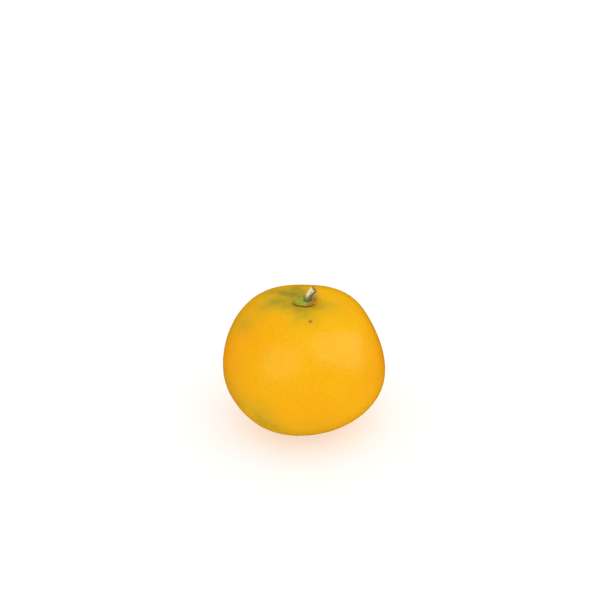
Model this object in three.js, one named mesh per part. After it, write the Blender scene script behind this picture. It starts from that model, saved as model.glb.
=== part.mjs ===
// A mandarin as picked: the whole fruit, the five-lobed calyx in its stem dimple and the stub of its stem.
// Millimetres, +Z up. The origin is on the floor, under the middle of the fruit.
import * as THREE from "three";

// Fruit: a squat body of revolution, swollen and flattened here and there as it grew
const FRUIT_RADIUS = 31;
const CROWN_HEIGHT = 54.6; // top of the body before the stem dimple is sunk into it
const WAIST_HEIGHT = 24.5; // level of the widest girth
const UPPER_FULLNESS = 2.25; // exponent of the outline above the waist: 2 is an ellipse, more is squarer
const LOWER_FULLNESS = 2.05; // the same below the waist
const STEM_DIMPLE_DEPTH = 2.4;
const STEM_DIMPLE_RADIUS = 8;
const REST_RING_INNER = 4.5; // the flat ring that the fruit stands on
const REST_RING_OUTER = 8.5;
const BLOSSOM_DIMPLE_DEPTH = 0.9; // hollow at the blossom end, inside the ring
const FURROW_COUNT = 9; // shallow furrows that run down the shoulder from the dimple
const FURROW_DEPTH = 0.2;
const FURROW_RADIUS = 10;
const FURROW_REACH = 4.5;

// Swellings (rise above 0) and flats (rise below 0): the direction of each from the middle in degrees,
// how far round it spreads in degrees, and how high it rises
const SWELLINGS = [
  { azimuth: 15, elevation: 20, spread: 22, rise: -1.1 },
  { azimuth: 39, elevation: 43, spread: 22, rise: 0.5 },
  { azimuth: 90, elevation: 56, spread: 24, rise: -0.8 },
  { azimuth: 141, elevation: 43, spread: 26, rise: 0.65 },
  { azimuth: 186, elevation: -8, spread: 24, rise: 0.4 },
  { azimuth: 230, elevation: -49, spread: 24, rise: 0.7 },
  { azimuth: -72, elevation: -55, spread: 26, rise: -0.35 },
  { azimuth: -12, elevation: -17, spread: 24, rise: 0.85 },
  { azimuth: -80, elevation: 18, spread: 20, rise: -0.25 },
  { azimuth: -125, elevation: 5, spread: 22, rise: 0.3 },
];

// Calyx: a small green star of five sepals. Each lobe has its direction in degrees, the radius of its tip
// and how far the tip curls up off the rind
const LOBES = [
  { azimuth: 22, reach: 5.8, lift: 2 },
  { azimuth: 108, reach: 4.1, lift: 0.5 },
  { azimuth: 198, reach: 4.7, lift: 0.5 },
  { azimuth: 284, reach: 3.3, lift: 0.1 },
  { azimuth: 334, reach: 4.6, lift: 0.4 },
];
const LOBE_SHAPE = 1.4; // 1 gives straight-sided points, more gives rounder ones
const NOTCH_RADIUS = 2.9; // radius of the notches between evenly spread lobes
const BOSS_RADIUS = 2.6; // flat top of the calyx that takes the stem
const CALYX_THICKNESS = 1.0;
const LOBE_TIP_THICKNESS = 0.65;

// Stem: a woody stub with a flared foot, bent over to one side and cut off square to its run
const STEM_RADIUS = 1.22;
const STEM_FOOT_RADIUS = 1.55;
const STEM_CUT_RADIUS = 1.3;
const STEM_FOOT_SHARE = 0.08; // share of the run that keeps the foot's radius
const STEM_FLARE_SHARE = 0.3; // share of the run where the flare has all but ended
const STEM_FLARE_LEFT = 1.12; // radius there over the radius at the narrowest place
const STEM_NARROW_SHARE = 0.6; // share of the run at the narrowest place
const STEM_OFFSET = 1.3; // the foot stands a little off the fruit's axis
const STEM_PATH = new THREE.QuadraticBezierCurve3(
  new THREE.Vector3(0, 0, 0),
  new THREE.Vector3(0, 0, 2.2),
  new THREE.Vector3(2.6, -0.2, 5),
);

// Gap kept between neighbours, and how finely each piece is cut into facets
const GAP = 0.15;
const FRUIT_COLUMNS = 72;
const BLOSSOM_ROWS = 4;
const FRUIT_ROWS_BELOW_WAIST = 14;
const FRUIT_ROWS_ABOVE_WAIST = 22;
const COLUMNS_PER_LOBE = 12;
const CALYX_RINGS = 6;
const STEM_COLUMNS = 16;
const STEM_ROWS = 10;

const FRUIT_MIDDLE = new THREE.Vector3(0, 0, CROWN_HEIGHT / 2);

// Height of the upper body at a radius, dimple included
function crownHeight(radius) {
  const share = Math.min(radius / FRUIT_RADIUS, 1);
  const dome = (1 - share ** UPPER_FULLNESS) ** (1 / UPPER_FULLNESS);
  const dimple = STEM_DIMPLE_DEPTH * Math.exp(-((radius / STEM_DIMPLE_RADIUS) ** 2));
  return WAIST_HEIGHT + (CROWN_HEIGHT - WAIST_HEIGHT) * dome - dimple;
}

// Height of the lower body at a radius: it reaches the floor at the outer edge of the rest ring
function baseHeight(radius) {
  const dome = (share) => (1 - share ** LOWER_FULLNESS) ** (1 / LOWER_FULLNESS);
  const depth = WAIST_HEIGHT / dome(REST_RING_OUTER / FRUIT_RADIUS);
  return WAIST_HEIGHT - depth * dome(Math.min(radius / FRUIT_RADIUS, 1));
}

// Outline of the body from the blossom end, round the waist, to the bottom of the stem dimple
function fruitProfile() {
  const points = [];
  for (let row = 0; row <= BLOSSOM_ROWS; row++) {
    const share = row / BLOSSOM_ROWS;
    points.push(new THREE.Vector2(REST_RING_INNER * share, BLOSSOM_DIMPLE_DEPTH * (1 - share ** 2) ** 2));
  }
  points.push(new THREE.Vector2((REST_RING_INNER + REST_RING_OUTER) / 2, 0));
  const startAngle = Math.asin(REST_RING_OUTER / FRUIT_RADIUS);
  for (let row = 0; row <= FRUIT_ROWS_BELOW_WAIST; row++) {
    const angle = THREE.MathUtils.lerp(startAngle, Math.PI / 2, row / FRUIT_ROWS_BELOW_WAIST);
    const radius = FRUIT_RADIUS * Math.sin(angle);
    points.push(new THREE.Vector2(radius, baseHeight(radius)));
  }
  for (let row = 1; row <= FRUIT_ROWS_ABOVE_WAIST; row++) {
    const angle = (Math.PI / 2) * (1 - row / FRUIT_ROWS_ABOVE_WAIST);
    const radius = FRUIT_RADIUS * Math.sin(angle);
    points.push(new THREE.Vector2(radius, crownHeight(radius)));
  }
  return points;
}

// How far the skin stands out from the plain body in a direction from the middle
function swellingIn(direction) {
  let rise = 0;
  for (const swelling of SWELLINGS) {
    const azimuth = THREE.MathUtils.degToRad(swelling.azimuth);
    const polar = THREE.MathUtils.degToRad(90 - swelling.elevation);
    const centre = new THREE.Vector3(
      Math.sin(polar) * Math.cos(azimuth),
      Math.sin(polar) * Math.sin(azimuth),
      Math.cos(polar),
    );
    const turn = THREE.MathUtils.radToDeg(direction.angleTo(centre));
    rise += swelling.rise * Math.exp(-((turn / swelling.spread) ** 2));
  }
  return rise;
}

// A profile turned about +Z
function turned(profile, columns) {
  return new THREE.LatheGeometry(profile, columns).rotateX(Math.PI / 2);
}

// Moves each vertex of a geometry by a function that changes the point it is given
function reshape(geometry, move) {
  const positions = geometry.attributes.position;
  const point = new THREE.Vector3();
  for (let i = 0; i < positions.count; i++) {
    move(point.fromBufferAttribute(positions, i));
    positions.setXYZ(i, point.x, point.y, point.z);
  }
  geometry.computeVertexNormals();
  return geometry;
}

function makeFruit() {
  const swellStart = REST_RING_OUTER;
  const swellFull = FRUIT_RADIUS / 2;
  return reshape(turned(fruitProfile(), FRUIT_COLUMNS), (point) => {
    const radius = Math.hypot(point.x, point.y);
    const azimuth = Math.atan2(point.y, point.x);
    const direction = point.clone().sub(FRUIT_MIDDLE).normalize();
    const rise = swellingIn(direction) * THREE.MathUtils.smoothstep(radius, swellStart, swellFull);
    if (point.z > WAIST_HEIGHT) {
      const near = Math.exp(-(((radius - FURROW_RADIUS) / FURROW_REACH) ** 2));
      const clear = THREE.MathUtils.smoothstep(radius, NOTCH_RADIUS, swellStart);
      point.z -= FURROW_DEPTH * near * clear * (0.5 + 0.5 * Math.cos(FURROW_COUNT * azimuth));
    }
    point.addScaledVector(direction, rise);
  });
}

// The calyx's edge a number of lobes round from the first: its azimuth, its radius, the nearest lobe's reach
// and how far that lobe lifts there. The wider two lobes stand apart, the deeper the notch between them
function calyxEdge(lobesRound) {
  const turns = THREE.MathUtils.euclideanModulo(lobesRound, LOBES.length);
  const before = LOBES[Math.floor(turns)];
  const after = LOBES[(Math.floor(turns) + 1) % LOBES.length];
  const share = turns - Math.floor(turns);
  const spread = THREE.MathUtils.euclideanModulo(after.azimuth - before.azimuth, 360);
  const notch = NOTCH_RADIUS * Math.sqrt(360 / LOBES.length / spread);
  const { reach, lift } = share < 0.5 ? before : after;
  const toNotch = 1 - Math.abs(1 - 2 * share);
  return {
    azimuth: THREE.MathUtils.degToRad(before.azimuth + spread * share),
    radius: reach - (reach - notch) * toNotch ** LOBE_SHAPE,
    reach,
    lift: lift * (1 - toNotch ** 2),
  };
}

function makeCalyx() {
  const underside = [];
  const upperside = [];
  for (let ring = 0; ring <= CALYX_RINGS; ring++) {
    underside.push(new THREE.Vector2(ring / CALYX_RINGS, 0));
    upperside.unshift(new THREE.Vector2(ring / CALYX_RINGS, 1));
  }
  const disc = turned([...underside, ...upperside], COLUMNS_PER_LOBE * LOBES.length);
  return reshape(disc, (point) => {
    const share = Math.hypot(point.x, point.y);
    const edge = calyxEdge((Math.atan2(point.y, point.x) * LOBES.length) / (2 * Math.PI));
    const radius = share * edge.radius;
    const onTop = point.z > 0.5;
    const span = edge.reach - BOSS_RADIUS;
    const outward = Math.max(radius - BOSS_RADIUS, 0) / span;
    const slope = (2 * edge.lift * outward) / span;
    const flatThickness = THREE.MathUtils.lerp(CALYX_THICKNESS, LOBE_TIP_THICKNESS, Math.min(share ** 2, 1));
    const thickness = flatThickness * Math.hypot(1, slope);
    const level = onTop ? Math.max(radius, BOSS_RADIUS) : radius;
    point.x = radius * Math.cos(edge.azimuth);
    point.y = radius * Math.sin(edge.azimuth);
    point.z = crownHeight(level) + GAP + edge.lift * outward ** 2 + (onTop ? thickness : 0);
  });
}

// The outline's height is a share of the stem's run, which is then bent along its path
function makeStem() {
  const flank = new THREE.SplineCurve([
    new THREE.Vector2(STEM_FOOT_RADIUS, STEM_FOOT_SHARE),
    new THREE.Vector2(STEM_RADIUS * STEM_FLARE_LEFT, STEM_FLARE_SHARE),
    new THREE.Vector2(STEM_RADIUS, STEM_NARROW_SHARE),
    new THREE.Vector2(STEM_CUT_RADIUS, 1),
  ]).getPoints(STEM_ROWS);
  const foot = [new THREE.Vector2(0, 0), new THREE.Vector2(STEM_FOOT_RADIUS, 0)];
  const cut = [new THREE.Vector2(STEM_CUT_RADIUS / 2, 1), new THREE.Vector2(0, 1)];
  return reshape(turned([...foot, ...flank, ...cut], STEM_COLUMNS), (point) => {
    const share = THREE.MathUtils.clamp(point.z, 0, 1);
    const tangent = STEM_PATH.getTangent(share);
    const side = new THREE.Vector3(tangent.z, 0, -tangent.x).normalize();
    const front = tangent.clone().cross(side);
    const spot = STEM_PATH.getPoint(share);
    point.copy(spot.addScaledVector(side, point.x).addScaledVector(front, point.y));
  });
}

const mandarin = new THREE.Group();

function addPiece(name, geometry, colour, roughness) {
  const material = new THREE.MeshStandardMaterial({ color: colour, roughness, metalness: 0 });
  const mesh = new THREE.Mesh(geometry, material);
  mesh.name = name;
  mandarin.add(mesh);
  return mesh;
}

addPiece("fruit", makeFruit(), 0xfbb215, 0.42);
addPiece("calyx", makeCalyx(), 0x7d8b2e, 0.65);
const stem = addPiece("stem", makeStem(), 0x8a7a4a, 0.7);
stem.position.set(STEM_OFFSET, 0, crownHeight(BOSS_RADIUS) + CALYX_THICKNESS + 2 * GAP);

export default mandarin;
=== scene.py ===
"""Dresses the mandarin: a pitted rind, a leathery calyx and a woody stem, on a pale floor in soft light."""

import math
import random

import bmesh
import bpy
import numpy as np
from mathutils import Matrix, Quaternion, Vector, noise
from mathutils.bvhtree import BVHTree
from mathutils.kdtree import KDTree


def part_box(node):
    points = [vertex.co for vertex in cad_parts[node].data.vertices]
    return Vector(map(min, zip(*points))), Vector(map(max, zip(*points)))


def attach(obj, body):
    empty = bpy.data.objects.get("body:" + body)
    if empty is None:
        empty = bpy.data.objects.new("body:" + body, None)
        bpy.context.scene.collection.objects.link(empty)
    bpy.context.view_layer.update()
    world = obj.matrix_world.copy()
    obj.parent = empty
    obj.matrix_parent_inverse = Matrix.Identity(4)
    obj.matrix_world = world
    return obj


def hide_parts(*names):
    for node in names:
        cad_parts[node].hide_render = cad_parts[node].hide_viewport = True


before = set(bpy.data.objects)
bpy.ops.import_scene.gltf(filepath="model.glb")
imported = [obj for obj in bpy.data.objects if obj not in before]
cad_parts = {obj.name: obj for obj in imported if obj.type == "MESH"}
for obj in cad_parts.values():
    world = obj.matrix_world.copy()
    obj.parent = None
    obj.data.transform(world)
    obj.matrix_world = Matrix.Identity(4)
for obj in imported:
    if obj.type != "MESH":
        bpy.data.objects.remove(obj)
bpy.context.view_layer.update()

MM = 0.001
SEED = 11

# Smooth copies of the solids: facets that meet within these angles become quads, which are then rounded
WELD_DISTANCE = 0.001 * MM
JOIN_FACE_ANGLE = math.radians(40)
JOIN_SHAPE_ANGLE = math.radians(60)
ROUNDING_LEVELS = 2

# Rind: a fine skin laid on the fruit, with an oil gland sunk at each pit
RIND_SEGMENTS = 128  # quads along each edge of the cube that is blown up into the skin
GLAND_SPACING = 1.5 * MM
GLAND_JITTER = 0.25  # share of the spacing
GLAND_RADIUS = (0.38 * MM, 0.55 * MM)
GLAND_DEPTH = (0.05 * MM, 0.12 * MM)
PEBBLE_SIZE = 2.6 * MM
PEBBLE_HEIGHT = 0.05 * MM
PEBBLE_FREE_HEIGHT = 3 * MM  # the pebbling fades out below this height, to keep the skin off the floor
UV_MARGIN = 0.01  # share of a cube face left free round its patch of the map

# Patches of the rind: azimuth and elevation from the middle, and spread, in degrees, then strength
GREEN_AND_SHADOW_PATCHES = [
    # The patches on the top, behind and left of the stem, are partly painted shadow, the shadow of a fruit
    # lying above
    (180, 80, 17, 0.62),
    (135, 68, 9, 0.36),
    (102, 68, 9, 0.46),
    (163, 48, 8, 0.18),
    (138, 54, 8, 0.2),
    (-178, 69, 10, 0.18),
    (80, 79, 9, 0.45),
    (-75, 79, 10, 0.35),
    (-30, 73, 10, 0.25),
    (-14, 62, 8, 0.15),
    (-5, 72, 7, 0.16),
    (-108, 74, 6, 0.12),
    (-175, 58, 10, 0.35),
    (145, 60, 8, 0.3),
    (-88, 66, 8, 0.38),
    (-165, 40, 8, 0.4),
    (179, 34, 9, 0.25),
    (-155, -8, 10, 0.25),
    (-141, -11, 10, 0.34),
    (-121, -10, 9, 0.28),
    (-124, -22, 10, 0.4),
    (-111, -27, 11, 0.4),
    (-80, -30, 16, 0.26),
    (75, 25, 18, 0.25),
    (60, -35, 14, 0.3),
]
ORANGE_AND_LIMB_SHADE_PATCHES = [
    # The first two patches, at the right and left limbs, are partly painted shade: deeper orange where the
    # sides turn from the light
    (-5, 5, 34, 0.9),
    (-168, 6, 38, 0.75),
    (-140, 48, 20, 0.4),
    (55, 0, 45, 0.6),
    (125, 12, 45, 0.6),
    (-85, -12, 38, 0.45),
    (0, -90, 30, 0.4),
]

# Brown specks that show: azimuth and elevation from the middle, in degrees, then radius and strength
SPECKS = [
    (-79.6, 63.4, 0.8 * MM, 0.7),
    (-84.6, 33.1, 0.7 * MM, 0.08),
    (0, -90, 1.5 * MM, 0.9),
]
SMALL_SPECK_COUNT = 14
SMALL_SPECK_RADIUS = (0.25 * MM, 0.5 * MM)
SMALL_SPECK_STRENGTH = (0.08, 0.25)
SMALL_SPECK_LIMIT = 0.95  # sine of the highest elevation of a small speck

# Unevenness of the patches: the wander of their edges, then noises as strength, feature size and shift
EDGE_WANDER = 0.07
EDGE_FEATURE = 0.22
EDGE_SHIFTS = (1, 5, 9)
GREEN_BLOTCHES = [(0.25, 4 * MM, 6), (0.15, 1.6 * MM, 8)]
ORANGE_MOTTLE = [(0.15, 9 * MM, 12), (0.08, 3 * MM, 15)]

# Calyx: lobes as on the CAD star, with ribs and a collar round the stem's foot
LOBE_AZIMUTHS = [math.radians(azimuth) for azimuth in (22, 108, 198, 284, 334)]
RIB_HEIGHT = 0.14 * MM
RIB_WIDTH = 0.24 * MM
RIB_FROM = (2 * MM, 3 * MM)  # a rib sets in between these distances from the middle
COLLAR_RADIUS = 1.75 * MM
COLLAR_WIDTH = 0.3 * MM
COLLAR_HEIGHT = 0.35 * MM
CALYX_WRINKLE = 0.09 * MM
WRINKLES = [(1, 1.1 * MM, 3), (0.5, 0.5 * MM, 7)]  # strength, feature size and shift of each noise
TOP_FACING = (0.1, 0.6)  # the relief sets in between these upward parts of the normal
GREEN_MIDDLE = (-0.7 * MM, -0.3 * MM)  # the calyx is still green round here
GREEN_REACH = (2.1 * MM, 3.2 * MM)  # and has dried to brown between these distances from it
DRY_EDGE = [(0.25, 0.9 * MM, 2)]  # strength, feature size and shift of the noise
RUSSET_FROM = (1 * MM, 3 * MM)  # olive turns to russet between these places along X
CURLED_FROM = 1 * MM  # the lobe that curls up has turned tan above this height over the stem's foot

# Stem: the run of the CAD stub from its foot, and its bark
STEM_OFFSET = 1.3 * MM
STEM_BEND = Vector((0, 0, 2.2)) * MM
STEM_END = Vector((2.6, -0.2, 5)) * MM
STEM_RADIUS = 1.22 * MM
STEM_FOOT_FLARE = 0.33 * MM
STEM_CUT_FLARE = 0.1 * MM
FOOT_FLARE_END = 0.35  # share of the run
CUT_FLARE_START = 0.6  # share of the run
STEM_ROWS = 64
STEM_COLUMNS = 48
STEM_FOOT_RINGS = (0.01, 0.5)  # shares of the radius
STEM_CUT_RINGS = 14
CUT_MIDDLE = 0.2  # radius of the innermost ring of the cut, in steps between its rings
BARK_RELIEF = 0.1 * MM
BARK_LAYERS = [(1, 2.4, 1.6, 0), (0.5, 6, 4, 5)]  # strength, pitch round the stem and along it, shift
CUT_SINK = 0.16 * MM
CUT_SLOPE = (0.2, 0.95)  # the cut rises to its rim between these shares of the radius
BARK_RIM = 0.88  # share of the radius where the bark starts on the cut
PITH_EDGE = (0.15, 0.4)  # pith turns to wood between these shares of the radius
HIGHLIGHT_SIDE = Vector((-0.8, -0.35, 0.5)).normalized()  # painted highlight over paler bark on this side, where the light falls
HIGHLIGHT_FACING = (0.1, 0.95)  # between these parts of the normal that point to that side
HIGHLIGHT_EDGE = [(0.4, 0.7 * MM, 4)]  # strength, feature size and shift of the noise
HIGHLIGHT_FROM = (0.15, 0.6)  # the painted highlight sets in between these shares of the run

# Camera: where the fruit stands in the photograph's frame
PHOTO_SIZE = 600
FRUIT_PIXEL = (304.1, 358.7)  # pixel where the middle of the fruit shows
PIXELS_PER_METRE = 2591  # at the middle of the fruit
FRUIT_MIDDLE = Vector((0, 0, 27)) * MM
CAMERA_DISTANCE = 0.75
CAMERA_ELEVATION = math.radians(34)
SENSOR_WIDTH = 36

# Lights: angles in degrees, sizes in metres
SOFTBOX_DISTANCE = 0.8
OVERHEAD = {"azimuth": -50, "elevation": 74, "width": 0.9, "height": 0.9, "roll": 0, "radiance": 0.55}
LEFT_SHEEN = {"azimuth": -126, "elevation": 29, "width": 0.8, "height": 0.75, "roll": 22, "radiance": 2.1}
RIGHT_SHEEN = {"azimuth": -22, "elevation": 36, "width": 1.25, "height": 0.8, "roll": -43, "radiance": 2.9}
SURROUND_RADIANCE = 0.86
WHITE = (1, 1, 1, 1)

# Floor
FLOOR_SIZE = 6
FLOOR_GREY = (0.6, 0.6, 0.6, 1)
FLOOR_GLOW = 0.46
FLOOR_ROUGHNESS = 0.8
FLOOR_SPECULAR = 0.1

# Colours, in display values from 0 to 255
RIND_YELLOW = (252, 189, 6)
RIND_ORANGE = (252, 165, 6)
FRECKLE_YELLOW = (252, 196, 24)
PIT_ORANGE = (224, 124, 6)
FAINT_GREEN = (184, 164, 40)
STRONG_GREEN = (140, 136, 42)
SPECK_BROWN = (112, 74, 30)
RIB_YELLOW = (200, 194, 96)
# Cream of a painted highlight on the stem's lit side, over paler bark
PALE_BARK_AND_HIGHLIGHT = (246, 232, 190)
PITH_BROWN = (112, 78, 40)

# Mottled colours: the size of the mottling, then the two colours that it wavers between
CALYX_GREEN = (0.8 * MM, (132, 146, 28), (188, 194, 54))
CALYX_OLIVE = (0.5 * MM, (134, 114, 34), (180, 156, 54))
CALYX_RUSSET = (0.5 * MM, (154, 100, 36), (208, 148, 60))
CALYX_TAN = (0.6 * MM, (230, 172, 48), (252, 206, 84))
BARK_GREEN = (0.7 * MM, (92, 98, 34), (140, 138, 62))
WOOD_BROWN = (0.25 * MM, (150, 112, 54), (204, 166, 96))

# Surfaces: roughness as feature size, lowest and highest, grain as feature size and depth
RIND_ROUGHNESS = (3 * MM, 0.2, 0.27)
CALYX_ROUGHNESS = (0.6 * MM, 0.45, 0.65)
STEM_ROUGHNESS = (0.5 * MM, 0.35, 0.55)
RIND_GRAIN = (0.3 * MM, 0.012 * MM)
CALYX_GRAIN = (0.18 * MM, 0.03 * MM)
STEM_GRAIN = (0.16 * MM, 0.03 * MM)
RIND_SPECULAR = 0.11
CALYX_SPECULAR = 0.2
STEM_SPECULAR = 0.25
FRECKLE_SIZE = 0.9 * MM
FRECKLE_STRENGTH = 0.15
FRECKLE_FROM = (0.45, 0.75)  # values of the noise between which a freckle sets in
PIT_STRENGTH = 0.16
STRONG_GREEN_FROM = (0.35, 0.95)  # strengths of the tinge between which faint turns to strong
RIB_STRENGTH = 0.4

random_draw = random.Random(SEED)


def linear(colour):
    """A colour given in display values from 0 to 255, as linear red, green, blue and alpha."""
    def decode(value):
        share = value / 255
        return share / 12.92 if share <= 0.04045 else ((share + 0.055) / 1.055) ** 2.4
    red, green_and_shadow, blue = colour
    return decode(red), decode(green_and_shadow), decode(blue), 1


def smoothstep(low, high, value):
    share = np.clip((value - low) / (high - low), 0, 1)
    return share * share * (3 - 2 * share)


def direction(azimuth, elevation):
    """The unit vector at an azimuth and elevation in degrees."""
    turn = math.radians(azimuth)
    rise = math.radians(elevation)
    return Vector((math.cos(rise) * math.cos(turn), math.cos(rise) * math.sin(turn), math.sin(rise)))


def noise_at(points, feature_size, shift=0):
    """Smooth noise from -1 to 1 at each point, with features about that size."""
    offset = Vector((shift, shift * 0.7, -shift * 1.3))
    return np.array([noise.noise(Vector(point) / feature_size + offset) for point in points])


def layered_noise(points, layers):
    """The sum of several noises, each given by its strength, feature size and shift."""
    return sum(strength * noise_at(points, feature_size, shift) for strength, feature_size, shift in layers)


def positions(mesh):
    values = np.empty(len(mesh.vertices) * 3, np.float32)
    mesh.vertices.foreach_get("co", values)
    return values.reshape(-1, 3).astype(float)


def normals(mesh):
    values = np.empty(len(mesh.vertices) * 3, np.float32)
    mesh.vertex_normals.foreach_get("vector", values)
    return values.reshape(-1, 3).astype(float)


def set_positions(mesh, points):
    mesh.vertices.foreach_set("co", points.astype(np.float32).ravel())
    mesh.update()


def set_attribute(mesh, name, values):
    attribute = mesh.attributes.new(name, "FLOAT", "POINT")
    attribute.data.foreach_set("value", np.asarray(values, np.float32))


def add_piece(name, mesh, node, material):
    """A finished piece that stands for a CAD node and rides with the object."""
    piece = bpy.data.objects.new(name, mesh)
    bpy.context.scene.collection.objects.link(piece)
    mesh.materials.append(material)
    mesh.shade_smooth()
    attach(piece, "root")
    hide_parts(node)


def rounded_copy(node):
    """The mesh of a CAD node with its facets joined into quads and subdivided into a smooth surface."""
    bm = bmesh.new()
    bm.from_mesh(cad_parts[node].data)
    bmesh.ops.remove_doubles(bm, verts=bm.verts, dist=WELD_DISTANCE)
    bmesh.ops.join_triangles(
        bm, faces=bm.faces, angle_face_threshold=JOIN_FACE_ANGLE, angle_shape_threshold=JOIN_SHAPE_ANGLE
    )
    coarse = bpy.data.meshes.new(node + "_coarse")
    bm.to_mesh(coarse)
    bm.free()
    holder = bpy.data.objects.new(node + "_coarse", coarse)
    bpy.context.scene.collection.objects.link(holder)
    rounding = holder.modifiers.new("rounding", "SUBSURF")
    rounding.levels = ROUNDING_LEVELS
    depsgraph = bpy.context.evaluated_depsgraph_get()
    mesh = bpy.data.meshes.new_from_object(holder.evaluated_get(depsgraph))
    bpy.data.objects.remove(holder)
    bpy.data.meshes.remove(coarse)
    mesh.name = node + "_rounded"
    mesh.materials.clear()
    return mesh


class Graph:
    """A material's node tree, with short calls for the nodes used here."""

    def __init__(self, name):
        self.material = bpy.data.materials.new(name)
        self.material.use_nodes = True
        self.tree = self.material.node_tree
        self.shader = self.tree.nodes["Principled BSDF"]
        self.place = self.add("ShaderNodeTexCoord").outputs["Object"]

    def add(self, kind, **settings):
        node = self.tree.nodes.new(kind)
        for name, value in settings.items():
            setattr(node, name, value)
        return node

    def feed(self, target, source):
        """Links a socket to a target socket, or sets the target to a plain value."""
        if isinstance(source, bpy.types.NodeSocket):
            self.tree.links.new(source, target)
        else:
            target.default_value = source

    def attribute(self, name):
        return self.add("ShaderNodeAttribute", attribute_name=name).outputs["Fac"]

    def noise(self, feature_size, detail=3):
        node = self.add("ShaderNodeTexNoise")
        self.feed(node.inputs["Vector"], self.place)
        node.inputs["Scale"].default_value = 1 / feature_size
        node.inputs["Detail"].default_value = detail
        return node.outputs["Fac"]

    def span(self, value, low, high, start=0, end=1):
        """Maps a value between start and end to between low and high."""
        node = self.add("ShaderNodeMapRange")
        for name, amount in (
            ("Value", value),
            ("From Min", start),
            ("From Max", end),
            ("To Min", low),
            ("To Max", high),
        ):
            self.feed(node.inputs[name], amount)
        return node.outputs["Result"]

    def mix(self, factor, first, second):
        """Mixes two colours, by the sockets that the node keeps for colours."""
        node = self.add("ShaderNodeMix", data_type="RGBA")
        self.feed(node.inputs[0], factor)
        self.feed(node.inputs[6], first)
        self.feed(node.inputs[7], second)
        return node.outputs[2]

    def mottle(self, feature_size, first, second):
        """A colour that wavers between two display colours."""
        return self.mix(self.noise(feature_size), linear(first), linear(second))

    def waver(self, feature_size, low, high):
        """A value that wavers between two others."""
        return self.span(self.noise(feature_size), low, high)

    def grain(self, feature_size, depth, detail=3):
        """Fine bumps on the surface."""
        node = self.add("ShaderNodeBump")
        node.inputs["Distance"].default_value = depth
        self.feed(node.inputs["Height"], self.noise(feature_size, detail))
        self.feed(self.shader.inputs["Normal"], node.outputs["Normal"])

    def finish(self, colour, roughness, specular):
        self.feed(self.shader.inputs["Base Color"], colour)
        self.feed(self.shader.inputs["Roughness"], roughness)
        self.shader.inputs["Specular IOR Level"].default_value = specular
        return self.material


def rind_material():
    graph = Graph("rind")
    # Deeper orange: real ripening, and painted shade at the left and right limbs
    colour = graph.mix(graph.attribute("ripe_and_limb_shade"), linear(RIND_YELLOW), linear(RIND_ORANGE))
    freckle = graph.span(graph.noise(FRECKLE_SIZE, detail=2), 0, FRECKLE_STRENGTH, *FRECKLE_FROM)
    colour = graph.mix(freckle, colour, linear(FRECKLE_YELLOW))
    pit = graph.span(graph.attribute("pit"), 0, PIT_STRENGTH)
    colour = graph.mix(pit, colour, linear(PIT_ORANGE))
    # The olive tinge is green rind, and partly painted shadow on the top behind the stem
    tinge = graph.attribute("green_and_shadow")
    strong = graph.span(tinge, 0, 1, *STRONG_GREEN_FROM)
    green_and_shadow = graph.mix(strong, linear(FAINT_GREEN), linear(STRONG_GREEN))
    colour = graph.mix(tinge, colour, green_and_shadow)
    colour = graph.mix(graph.attribute("speck"), colour, linear(SPECK_BROWN))
    graph.grain(*RIND_GRAIN, detail=2)
    return graph.finish(colour, graph.waver(*RIND_ROUGHNESS), RIND_SPECULAR)


def calyx_material():
    graph = Graph("calyx")
    olive = graph.mottle(*CALYX_OLIVE)
    brown = graph.mix(graph.attribute("russet"), olive, graph.mottle(*CALYX_RUSSET))
    brown = graph.mix(graph.attribute("curled"), brown, graph.mottle(*CALYX_TAN))
    colour = graph.mix(graph.attribute("dry"), graph.mottle(*CALYX_GREEN), brown)
    rib = graph.span(graph.attribute("rib"), 0, RIB_STRENGTH)
    colour = graph.mix(rib, colour, linear(RIB_YELLOW))
    graph.grain(*CALYX_GRAIN)
    return graph.finish(colour, graph.waver(*CALYX_ROUGHNESS), CALYX_SPECULAR)


def stem_material():
    graph = Graph("stem")
    # The pale side of the bark is a painted highlight over paler bark
    bark = graph.mix(graph.attribute("pale"), graph.mottle(*BARK_GREEN), linear(PALE_BARK_AND_HIGHLIGHT))
    wood = graph.mix(graph.attribute("pith"), graph.mottle(*WOOD_BROWN), linear(PITH_BROWN))
    colour = graph.mix(graph.attribute("cut"), bark, wood)
    graph.grain(*STEM_GRAIN)
    return graph.finish(colour, graph.waver(*STEM_ROUGHNESS), STEM_SPECULAR)


def cube_sphere(segments):
    """A unit sphere blown up from a cube cut into even quads, with each cube face laid out on the map."""
    bm = bmesh.new()
    bmesh.ops.create_cube(bm, size=2)
    bmesh.ops.subdivide_edges(bm, edges=bm.edges[:], cuts=segments - 1, use_grid_fill=True)
    layer = bm.loops.layers.uv.new("OFBake")
    for face in bm.faces:
        middle = face.calc_center_median()
        axis = max(range(3), key=lambda i: abs(middle[i]))
        positive = middle[axis] > 0
        column, row = axis, int(positive)
        across, along = [i for i in range(3) if i != axis]
        turned_over = positive == (axis == 1)
        for loop in face.loops:
            u = (loop.vert.co[across] + 1) / 2
            v = (loop.vert.co[along] + 1) / 2
            u = 1 - u if turned_over else u
            u = UV_MARGIN + u * (1 - 2 * UV_MARGIN)
            v = UV_MARGIN + v * (1 - 2 * UV_MARGIN)
            loop[layer].uv = ((column + u) / 3, (row + v) / 2)
    for vert in bm.verts:
        vert.co = Vector(math.tan(c * math.pi / 4) for c in vert.co).normalized()
    mesh = bpy.data.meshes.new("rind")
    bm.to_mesh(mesh)
    bm.free()
    return mesh


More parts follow.
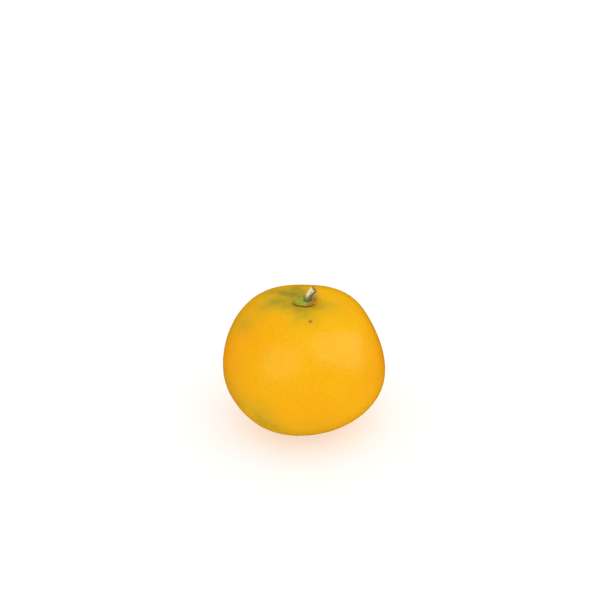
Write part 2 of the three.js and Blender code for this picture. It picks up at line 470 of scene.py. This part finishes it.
def gland_directions(area):
    """Directions of the oil glands: an even spiral over the sphere, with each one shaken a little."""
    count = int(area / (GLAND_SPACING**2 * math.sqrt(3) / 2))
    golden = math.pi * (3 - math.sqrt(5))
    shake = GLAND_JITTER * math.sqrt(4 * math.pi / count)
    found = []
    for i in range(count):
        z = 1 - 2 * (i + 0.5) / count
        ring = math.sqrt(1 - z * z)
        spot = Vector((ring * math.cos(golden * i), ring * math.sin(golden * i), z))
        push = Vector([random_draw.gauss(0, 1) for _ in range(3)])
        found.append((spot + shake * push).normalized())
    return found


def patch_strength(directions, patches):
    """How strongly each direction falls in a list of round patches, with ragged edges."""
    wander = np.stack([noise_at(directions, EDGE_FEATURE, shift) for shift in EDGE_SHIFTS], axis=1)
    ragged = directions + EDGE_WANDER * wander
    ragged /= np.linalg.norm(ragged, axis=1)[:, None]
    total = np.zeros(len(directions))
    for azimuth, elevation, spread, strength in patches:
        turn = np.degrees(np.arccos(np.clip(ragged @ np.array(direction(azimuth, elevation)), -1, 1)))
        total += strength * np.exp(-((turn / spread) ** 2))
    return total


def speck_strength(points, surface, middle):
    """How strongly each point falls in a brown speck, the named ones and a scatter of small ones."""
    specks = list(SPECKS)
    for _ in range(SMALL_SPECK_COUNT):
        azimuth = random_draw.uniform(-180, 180)
        elevation = math.degrees(math.asin(random_draw.uniform(-SMALL_SPECK_LIMIT, SMALL_SPECK_LIMIT)))
        radius = random_draw.uniform(*SMALL_SPECK_RADIUS)
        strength = random_draw.uniform(*SMALL_SPECK_STRENGTH)
        specks.append((azimuth, elevation, radius, strength))
    total = np.zeros(len(points))
    for azimuth, elevation, radius, strength in specks:
        spot = surface.ray_cast(middle, direction(azimuth, elevation))[0]
        distance = np.linalg.norm(points - np.array(spot), axis=1)
        total = np.maximum(total, strength * np.exp(-((distance / radius) ** 4)))
    return total


def make_rind():
    rounded = rounded_copy("fruit")
    surface = BVHTree.FromPolygons(
        [v.co.copy() for v in rounded.vertices], [p.vertices[:] for p in rounded.polygons]
    )
    area = sum(p.area for p in rounded.polygons)
    bpy.data.meshes.remove(rounded)
    low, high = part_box("fruit")
    middle = (low + high) / 2
    mesh = cube_sphere(RIND_SEGMENTS)
    directions = positions(mesh)
    points = np.array([surface.ray_cast(middle, Vector(d))[0] for d in directions])
    set_positions(mesh, points)

    corners = KDTree(len(points))
    for i, point in enumerate(points):
        corners.insert(point, i)
    corners.balance()
    glands = sorted({corners.find(surface.ray_cast(middle, d)[0])[1] for d in gland_directions(area)})
    tree = KDTree(len(glands))
    for i, gland in enumerate(glands):
        tree.insert(points[gland], i)
    tree.balance()
    sizes = [random_draw.random() for _ in glands]
    nearest = [tree.find(p) for p in points]
    size = np.array([sizes[found[1]] for found in nearest])
    distance = np.array([found[2] for found in nearest])
    radius = GLAND_RADIUS[0] + (GLAND_RADIUS[1] - GLAND_RADIUS[0]) * size
    depth = GLAND_DEPTH[0] + (GLAND_DEPTH[1] - GLAND_DEPTH[0]) * size
    pit = np.exp(-((distance / radius) ** 2))
    pebble = noise_at(points, PEBBLE_SIZE)
    clear_of_floor = smoothstep(0, PEBBLE_FREE_HEIGHT, points[:, 2])
    relief = PEBBLE_HEIGHT * pebble * clear_of_floor - depth * pit
    set_positions(mesh, points + normals(mesh) * relief[:, None])

    set_attribute(mesh, "pit", pit)
    # Green rind, and partly painted shadow on the top behind the stem
    green_and_shadow = patch_strength(directions, GREEN_AND_SHADOW_PATCHES) * (1 + layered_noise(points, GREEN_BLOTCHES))
    set_attribute(mesh, "green_and_shadow", np.clip(green_and_shadow, 0, 1))
    # Deeper orange: real ripening, and painted shade at the left and right limbs
    ripe_and_limb_shade = patch_strength(directions, ORANGE_AND_LIMB_SHADE_PATCHES) + layered_noise(points, ORANGE_MOTTLE)
    set_attribute(mesh, "ripe_and_limb_shade", np.clip(ripe_and_limb_shade, 0, 1))
    set_attribute(mesh, "speck", speck_strength(points, surface, middle))
    add_piece("rind", mesh, "fruit", rind_material())


def make_calyx():
    mesh = rounded_copy("calyx")
    points = positions(mesh)
    on_top = smoothstep(*TOP_FACING, normals(mesh)[:, 2])
    rib = np.zeros(len(points))
    for azimuth in LOBE_AZIMUTHS:
        outward = points[:, 0] * math.cos(azimuth) + points[:, 1] * math.sin(azimuth)
        aside = points[:, 1] * math.cos(azimuth) - points[:, 0] * math.sin(azimuth)
        ridge = np.exp(-((aside / RIB_WIDTH) ** 2)) * smoothstep(*RIB_FROM, outward)
        rib = np.maximum(rib, ridge)
    foot = np.hypot(points[:, 0] - STEM_OFFSET, points[:, 1])
    collar = np.exp(-(((foot - COLLAR_RADIUS) / COLLAR_WIDTH) ** 2))
    wrinkle = layered_noise(points, WRINKLES)
    points[:, 2] += on_top * (RIB_HEIGHT * rib + COLLAR_HEIGHT * collar + CALYX_WRINKLE * wrinkle)
    set_positions(mesh, points)
    off_green = np.hypot(points[:, 0] - GREEN_MIDDLE[0], points[:, 1] - GREEN_MIDDLE[1])
    dry = smoothstep(*GREEN_REACH, off_green) + layered_noise(points, DRY_EDGE)
    stem_foot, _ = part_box("stem")
    curled = smoothstep(0, CURLED_FROM, points[:, 2] - stem_foot.z)
    set_attribute(mesh, "dry", np.clip(dry, 0, 1))
    set_attribute(mesh, "russet", smoothstep(*RUSSET_FROM, points[:, 0]))
    set_attribute(mesh, "curled", curled * on_top)
    set_attribute(mesh, "rib", rib * on_top)
    add_piece("sepals", mesh, "calyx", calyx_material())


def stem_spot(share):
    """The point of the stem's run at a share of its length, and the direction of the run there."""
    spot = 2 * share * (1 - share) * STEM_BEND + share**2 * STEM_END
    run = 2 * (1 - share) * STEM_BEND + 2 * share * (STEM_END - STEM_BEND)
    return spot, run.normalized()


def stem_ring(foot, share, radius_share, sink):
    """One ring of points round the stem, with the relief of its bark."""
    spot, run = stem_spot(share)
    side = Vector((run.z, 0, -run.x)).normalized()
    front = run.cross(side)
    flare = STEM_FOOT_FLARE * (1 - smoothstep(0, FOOT_FLARE_END, share))
    flare += STEM_CUT_FLARE * smoothstep(CUT_FLARE_START, 1, share)
    ring = []
    for column in range(STEM_COLUMNS):
        turn = 2 * math.pi * column / STEM_COLUMNS
        way = side * math.cos(turn) + front * math.sin(turn)
        radius = STEM_RADIUS + flare
        for strength, pitch_round, pitch_along, shift in BARK_LAYERS:
            place = Vector((pitch_round * way.x, pitch_round * way.y, pitch_along * share + shift))
            radius += BARK_RELIEF * strength * noise.noise(place)
        ring.append(foot + spot + way * radius * radius_share - run * sink)
    return ring


def make_stem():
    low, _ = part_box("stem")
    foot = Vector((STEM_OFFSET, 0, low.z))
    rings = [stem_ring(foot, 0, share, 0) for share in STEM_FOOT_RINGS]
    cut = [0] * len(STEM_FOOT_RINGS)
    reach = list(STEM_FOOT_RINGS)
    along = [0] * len(STEM_FOOT_RINGS)
    for row in range(STEM_ROWS + 1):
        rings.append(stem_ring(foot, row / STEM_ROWS, 1, 0))
        cut.append(0)
        reach.append(1)
        along.append(row / STEM_ROWS)
    for ring in range(1, STEM_CUT_RINGS + 1):
        share = 1 - ring / (STEM_CUT_RINGS + CUT_MIDDLE)
        rings.append(stem_ring(foot, 1, share, CUT_SINK * (1 - smoothstep(*CUT_SLOPE, share))))
        cut.append(float(share < BARK_RIM))
        reach.append(share)
        along.append(1)
    points = [point for ring in rings for point in ring]
    faces = []
    for row in range(len(rings) - 1):
        below = row * STEM_COLUMNS
        above = below + STEM_COLUMNS
        for column in range(STEM_COLUMNS):
            after = (column + 1) % STEM_COLUMNS
            faces.append((below + column, below + after, above + after, above + column))
    faces.append(tuple(reversed(range(STEM_COLUMNS))))
    faces.append(tuple(range(len(points) - STEM_COLUMNS, len(points))))
    mesh = bpy.data.meshes.new("stem_stub")
    mesh.from_pydata(points, [], faces)
    mesh.update()
    # The pale attribute marks a painted highlight on the side that faces the light, over paler bark
    facing = normals(mesh) @ np.array(HIGHLIGHT_SIDE) + layered_noise(positions(mesh), HIGHLIGHT_EDGE)
    heights = np.repeat(along, STEM_COLUMNS)
    set_attribute(mesh, "pale", smoothstep(*HIGHLIGHT_FACING, facing) * smoothstep(*HIGHLIGHT_FROM, heights))
    set_attribute(mesh, "cut", np.repeat(cut, STEM_COLUMNS))
    set_attribute(mesh, "pith", 1 - smoothstep(*PITH_EDGE, np.repeat(reach, STEM_COLUMNS)))
    add_piece("stem_stub", mesh, "stem", stem_material())


def add_floor():
    bpy.ops.mesh.primitive_plane_add(size=FLOOR_SIZE)
    floor = bpy.context.object
    floor.name = "floor"
    floor.visible_glossy = False
    graph = Graph("floor")
    graph.shader.inputs["Emission Color"].default_value = WHITE
    graph.shader.inputs["Emission Strength"].default_value = FLOOR_GLOW
    floor.data.materials.append(graph.finish(FLOOR_GREY, FLOOR_ROUGHNESS, FLOOR_SPECULAR))


def add_softbox(name, azimuth, elevation, width, height, roll, radiance):
    """A studio light that faces the fruit, turned by a roll in degrees about the line to the fruit."""
    light = bpy.data.lights.new(name, "AREA")
    light.shape = "RECTANGLE"
    light.size = width
    light.size_y = height
    light.energy = radiance * math.pi * width * height
    lamp = bpy.data.objects.new(name, light)
    away = direction(azimuth, elevation)
    lamp.location = FRUIT_MIDDLE + away * SOFTBOX_DISTANCE
    facing = Quaternion(away, math.radians(roll)) @ away.to_track_quat("Z", "Y")
    lamp.rotation_euler = facing.to_euler()
    bpy.context.scene.collection.objects.link(lamp)
    return lamp


def add_lights():
    """A softbox overhead for the shading, two at the sides that only show as sheen, and an even surround."""
    add_softbox("overhead", **OVERHEAD).visible_glossy = False
    add_softbox("left_sheen", **LEFT_SHEEN).visible_diffuse = False
    add_softbox("right_sheen", **RIGHT_SHEEN).visible_diffuse = False
    world = bpy.data.worlds.new("studio")
    world.use_nodes = True
    backdrop = world.node_tree.nodes["Background"]
    backdrop.inputs["Color"].default_value = WHITE
    backdrop.inputs["Strength"].default_value = SURROUND_RADIANCE
    bpy.context.scene.world = world
    world.cycles_visibility.glossy = False


def add_camera():
    """The photograph's view: the fruit at its place and size in the frame, with no lens shift."""
    back = Vector((0, -math.cos(CAMERA_ELEVATION), math.sin(CAMERA_ELEVATION)))
    right = Vector((1, 0, 0))
    up = back.cross(right)
    frame_middle = PHOTO_SIZE / 2
    aside = (frame_middle - FRUIT_PIXEL[0]) / PIXELS_PER_METRE
    above = (FRUIT_PIXEL[1] - frame_middle) / PIXELS_PER_METRE
    data = bpy.data.cameras.new("camera")
    data.sensor_width = SENSOR_WIDTH
    data.lens = SENSOR_WIDTH * PIXELS_PER_METRE * CAMERA_DISTANCE / PHOTO_SIZE
    camera = bpy.data.objects.new("camera", data)
    camera.location = FRUIT_MIDDLE + back * CAMERA_DISTANCE
    aim = FRUIT_MIDDLE + right * aside + up * above
    camera.rotation_euler = (camera.location - aim).to_track_quat("Z", "Y").to_euler()
    bpy.context.scene.collection.objects.link(camera)
    bpy.context.scene.camera = camera


add_camera()
make_rind()
make_calyx()
make_stem()
add_floor()
add_lights()
bpy.context.scene.view_settings.view_transform = "Standard"
